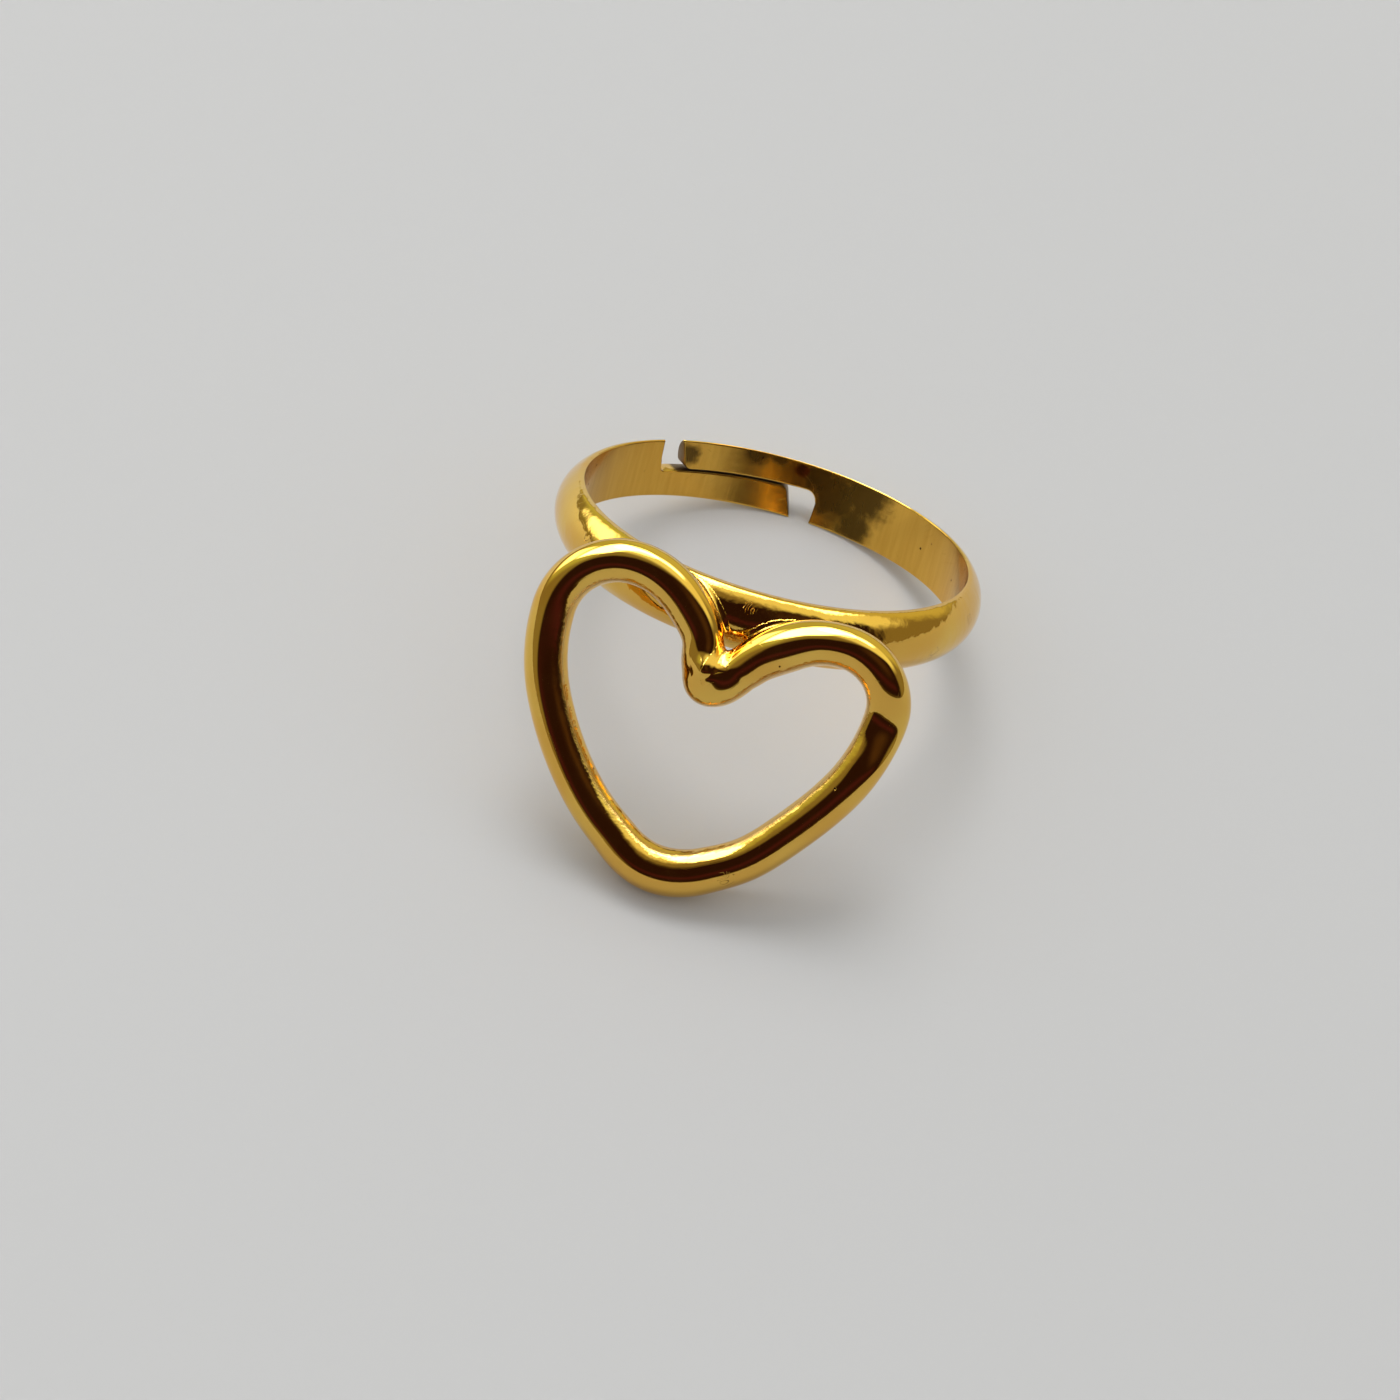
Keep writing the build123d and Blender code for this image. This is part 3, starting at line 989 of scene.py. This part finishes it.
def part_pinches(field):
    """Empty the samples that meet only diagonally, where the skin would touch itself."""
    found = 0
    for u, v in ((0, 1), (0, 2), (1, 2)):
        corners = []
        for shift in ((0, 0), (1, 0), (0, 1), (1, 1)):
            cut = [slice(None)] * 3
            for axis, k in zip((u, v), shift):
                cut[axis] = slice(k, field.shape[axis] - 1 + k)
            corners.append(field[tuple(cut)])
        a, b, c, d = (corner < 0 for corner in corners)
        pinched = (a == d) & (b == c) & (a != b)
        for corner in corners:
            corner[pinched & (corner < 0)] = JUST_OUTSIDE
        found += int(pinched.sum())
    return found


while part_pinches(field):
    print("parted some pinched samples")

# %% The surface between the samples
def level_surface(field):
    """Points and four-sided faces where a sampled field changes sign, in grid steps."""
    total, count, quads = np.zeros((field.size, 3)), np.zeros(field.size), []
    for axis in range(3):
        ahead, u, v = np.roll(np.eye(3, dtype=int), -axis, axis=0)
        a = field[tuple(slice(0, n - k) for n, k in zip(field.shape, ahead))]
        b = field[tuple(slice(k, n) for n, k in zip(field.shape, ahead))]
        at = np.argwhere((a < 0) != (b < 0))
        fa, fb = a[tuple(at.T)], b[tuple(at.T)]
        cross = at + ahead * (fa / (fa - fb))[:, None]
        corners = (at, at - u, at - u - v, at - v)
        ids = np.stack([np.ravel_multi_index(c.T, field.shape) for c in corners], axis=1)
        ids[fa > 0] = ids[fa > 0][:, ::-1]
        for column in ids.T:
            np.add.at(total, column, cross)
            np.add.at(count, column, 1)
        quads.append(ids)
    used, faces = np.unique(np.concatenate(quads), return_inverse=True)
    return total[used] / count[used][:, None], faces.reshape(-1, 4)


points, faces = level_surface(field)
points = SOLDER_LOW + GRID * points
print("surface of", len(points), "points")

# %% Slide its points onto the blend
PROBE = 0.002     # step for measuring how the blend changes
ON_SHOW = 0.03    # points further from the blend than this are hidden in the metal
at_skin = distances(points)
value = blend(*at_skin)
changes = [blend(*distances(points + PROBE * axis)) - value for axis in np.eye(3)]
slope = np.stack([change / PROBE for change in changes], axis=1)
shown = np.abs(value) < ON_SHOW
points[shown] -= (value / np.sum(slope**2, axis=1))[shown, None] * slope[shown]
height = np.minimum(np.minimum(at_skin[0], at_skin[1]), np.minimum(at_skin[2], at_skin[3]))
solder_data = bpy.data.meshes.new("solder")
solder_data.from_pydata(points.tolist(), [], faces.tolist())
solder_data.materials.append(soldered)
weigh_up("solder", solder_data)
print("the web stands at most", round(float(height.max()), 3), "mm off the metal")

# %% [markdown]
# ## Where the polishing wheel can't reach
# A wheel polishes only what it touches.  The bottom of the fold, the corner beside the band and
# the inside of the heart stay rougher.  A mask could be painted by hand, but the shapes already
# tell how deep each place lies and which way it faces.  So the masks are worked out from them
# and stored on the meshes, where the finishes read them.

# %% The hidden side of the wire
LEFT_HIDDEN, RIGHT_HIDDEN = 0.85, 0.4   # how near to other metal the wheel gets on each strand


def turned_away(mesh):
    """1 where a mesh's surface turns away from the front, 0 where it faces the front."""
    normals = np.empty(3 * len(mesh.vertices))
    mesh.vertices.foreach_get("normal", normals)
    return np.clip(2.2 - 4 * normals.reshape(-1, 3) @ np.array(HEART_FACE), 0, 1)


right, left, folded, band_skin = distances(skin)
in_fold = np.where(skin[:, 2] > fold_place.z - 0.4, np.maximum(right, left), FAR)
hidden = np.minimum(band_skin, in_fold)
widest = np.where(skin[:, 0] < fold_place.x, LEFT_HIDDEN, RIGHT_HIDDEN)
unreached = np.clip(1.5 - 1.8 * hidden / widest, 0, 1) * turned_away(heart_data)
print("unpolished share of the wire", round(float(np.mean(hidden < widest / 2)), 3))

# %% The side of the wire that faces into the heart
SEAM, SEAM_WIDTH, SEAM_ROUGH = 0.85, 0.11, 0.85   # where the wheel stops, as a share of the radius
nearest = []
for part in np.array_split(straight, 60):
    nearest.append(np.argmin(((part[:, None] - centres) ** 2).sum(axis=2), axis=1))
nearest = np.concatenate(nearest)
tangent = np.roll(centres, -1, axis=0) - np.roll(centres, 1, axis=0)
inward = np.cross(np.array(HEART_FACE), tangent / np.linalg.norm(tangent, axis=1)[:, None])
facing_in = np.sum((straight - centres[nearest]) * inward[nearest], axis=1) / radii[nearest]
seam = SEAM_ROUGH * np.exp(-(((facing_in - SEAM) / SEAM_WIDTH) ** 2)) * (1 - turned_away(heart_data))
print("facing in", round(float(np.mean(facing_in > 0)), 3), "of the wire's points")

# %% Store the masks
for mesh, name, mask in (
    (heart_data, "unpolished", np.maximum(unreached, seam)),
    (heart_data, "uneven", np.clip(2 * facing_in - 0.7, 0.05, 1)),
    (solder_data, "stands_off", np.maximum(height, 0) * turned_away(solder_data)),
):
    mesh.attributes.new(name, "FLOAT", "POINT").data.foreach_set("value", mask)
    print(name, "has a mean of", round(float(mask.mean()), 3))

# %% [markdown]
# ## The finished pieces
# The real ring is one piece of metal.  Band, wire and solder are three meshes here, because each
# was made in its own way, and together they stand for the one solid of the CAD model.  They could
# be joined, but apart they keep their own masks and stay easy to change.

# %% Lay down and name the pieces
for mesh in (heart_data, solder_data):
    mesh.transform(LAY)
heart, solder = add_piece("heart", heart_data), add_piece("solder", solder_data)
band.data.materials.append(polished)
band.data.materials.append(satin)
for piece in (band, heart, solder):
    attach(piece, "root")
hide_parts("heart_ring")

# %% [markdown]
# ## Camera
# The photograph looks down on the ring from the front, a little from the right, with a long
# lens.  A Track To constraint could aim the camera, but it leaves no say in the roll.  So the
# camera's matrix is built from its direction, distance and roll, which can be set one at a time.

# %% Camera
CAMERA_AZIMUTH, CAMERA_ELEVATION, CAMERA_ROLL = 10.6644, 47.8339, -10.7749
CAMERA_DISTANCE, LENS = 0.243077, 145.764
CAMERA_TARGET = Vector((-0.000698, -0.001679, 0.000767))


def towards(azimuth, elevation):
    """Direction from the ring; azimuth 0 is the front and 90 the right."""
    a, e = radians(azimuth), radians(elevation)
    return Vector((sin(a) * cos(e), -cos(a) * cos(e), sin(e)))


camera = bpy.data.objects.new("camera", bpy.data.cameras.new("camera"))
scene.collection.objects.link(camera)
view = towards(CAMERA_AZIMUTH, CAMERA_ELEVATION)
turn = view.to_track_quat("Z", "Y").to_matrix() @ Matrix.Rotation(radians(-CAMERA_ROLL), 3, "Z")
camera.matrix_world = Matrix.Translation(CAMERA_TARGET + CAMERA_DISTANCE * view) @ turn.to_4x4()
camera.data.lens = LENS
camera.data.clip_start = 0.01
scene.camera = camera
print("camera at", [round(c, 3) for c in camera.matrix_world.translation])

# %% [markdown]
# ## Floor
# The ring lies on a plain pale table.  A large flat disc is all it takes, because its edge is
# outside every view.  It is nearly matt, so that it shows only the ring's soft shadow.

# %% Floor
PALE = (0.60, 0.60, 0.60, 1)
floor_mesh = bpy.data.meshes.new("floor")
floor_shape = bmesh.new()
bmesh.ops.create_circle(floor_shape, cap_ends=True, radius=2.0, segments=64)
floor_shape.to_mesh(floor_mesh)
floor_shape.free()
floor = bpy.data.objects.new("floor", floor_mesh)
scene.collection.objects.link(floor)
pale = bpy.data.materials.new("pale_floor")
pale.use_nodes = True
pale.node_tree.nodes["Principled BSDF"].inputs["Base Color"].default_value = PALE
pale.node_tree.nodes["Principled BSDF"].inputs["Roughness"].default_value = 0.6
floor_mesh.materials.append(pale)

# %% [markdown]
# ## What the gold mirrors
# Polished metal shows hardly anything but its surroundings, tinted by its own colour.  In a
# studio those would be soft boxes and dark cards round the ring.  Lamps could stand for them,
# but they would light the table as well.  So each one is a soft-edged panel on the world, made
# by one shader group with its own values, and only glossy rays see the panels.

# %% A soft box as a shader group
softbox = bpy.data.node_groups.new("softbox", "ShaderNodeTree")
for name in ("Direction", "Right", "Up", "Ahead"):
    softbox.interface.new_socket(name, in_out="INPUT", socket_type="NodeSocketVector")
for name in ("Half Width", "Half Height", "Soft"):
    softbox.interface.new_socket(name, in_out="INPUT", socket_type="NodeSocketFloat")
softbox.interface.new_socket("Mask", in_out="OUTPUT", socket_type="NodeSocketFloat")
box_in = softbox.nodes.new("NodeGroupInput").outputs
box_out = softbox.nodes.new("NodeGroupOutput").inputs


def inside(axis, half):
    """1 where the direction lies within a half width along one axis, fading over the soft edge."""
    ahead = with_vectors(softbox, "DOT_PRODUCT", box_in["Direction"], box_in["Ahead"])
    across = with_vectors(softbox, "DOT_PRODUCT", box_in["Direction"], box_in[axis])
    offset = calculate(softbox, "ABSOLUTE", calculate(softbox, "ARCTAN2", across, ahead))
    outer = calculate(softbox, "ADD", box_in[half], box_in["Soft"])
    inner = calculate(softbox, "SUBTRACT", box_in[half], box_in["Soft"])
    return fade(softbox, offset, outer, inner)


both = calculate(softbox, "MULTIPLY", inside("Right", "Half Width"), inside("Up", "Half Height"))
softbox.links.new(both, box_out["Mask"])
print("group", softbox.name, "with", len(softbox.nodes), "nodes")

# %% Place a panel
world = bpy.data.worlds.new("studio")
scene.world = world
world.use_nodes = True
sky = world.node_tree
direction = sky.nodes.new("ShaderNodeTexCoord").outputs["Generated"]


def panel(azimuth, elevation, half_width, half_height, soft):
    """Mask of a soft-edged panel seen from the ring, in degrees."""
    node = sky.nodes.new("ShaderNodeGroup")
    node.node_tree = softbox
    ahead = towards(azimuth, elevation)
    right = Vector((cos(radians(azimuth)), sin(radians(azimuth)), 0))
    for name, value in (("Ahead", ahead), ("Right", right), ("Up", ahead.cross(right)),
                        ("Half Width", radians(half_width)), ("Half Height", radians(half_height)),
                        ("Soft", radians(soft))):
        node.inputs[name].default_value = value
    sky.links.new(direction, node.inputs["Direction"])
    return node.outputs["Mask"]


# %% Surroundings
# azimuth, elevation, half width, half height and soft edge, and the panel's colour
PANELS = (
    ((180, 68, 56, 24, 8), (1.05, 1.1, 0.75)),
    ((178, 24, 42, 20, 8), (0.66, 0.66, 0.30)),
    ((-122, 40, 40, 30, 8), (0.55, 0.60, 0.24)),
    ((-112, 22, 15, 11, 5), (3.0, 3.0, 2.8)),
    ((-122, 55, 24, 15, 4), (8.0, 8.0, 8.0)),
    ((178, 60, 26, 7, 3), (6.0, 6.0, 6.0)),
    ((28, 38, 55, 38, 6), (0.024, 0.009, 0.008)),
    ((20, 21, 42, 6, 7), (0.06, 0.013, 0.025)),
    ((62, 50, 12, 15, 12), (0.07, 0.035, 0.02)),
)
BEHIND_PANELS, EVEN_LIGHT = (0.27, 0.235, 0.13), (0.62, 0.62, 0.62)
tone = BEHIND_PANELS
for shape, colour in PANELS:
    tone = tinted(sky, panel(*shape), tone, colour)
mirrored = sky.nodes.new("ShaderNodeLightPath").outputs["Is Glossy Ray"]
sky.links.new(tinted(sky, mirrored, EVEN_LIGHT, tone), sky.nodes["Background"].inputs["Color"])
print("surroundings of", len(PANELS), "panels")

# %% [markdown]
# ## Window
# A ring on a table needs a shadow, or it seems to float.  One wide lamp, high behind the ring,
# gives a faint soft one, as a window does.

# %% Lamp
LAMP_DISTANCE = 0.8
lamp = bpy.data.lights.new("window", "AREA")
lamp.shape = "DISK"
lamp.size = 0.5
lamp.energy = 2
window = bpy.data.objects.new("window", lamp)
scene.collection.objects.link(window)
aim = towards(205, 60)
turn = aim.to_track_quat("Z", "Y").to_matrix().to_4x4()
window.matrix_world = Matrix.Translation(LAMP_DISTANCE * aim) @ turn
scene.view_settings.view_transform = "Standard"
print("lamp of", lamp.energy, "W at", [round(c, 2) for c in window.matrix_world.translation])
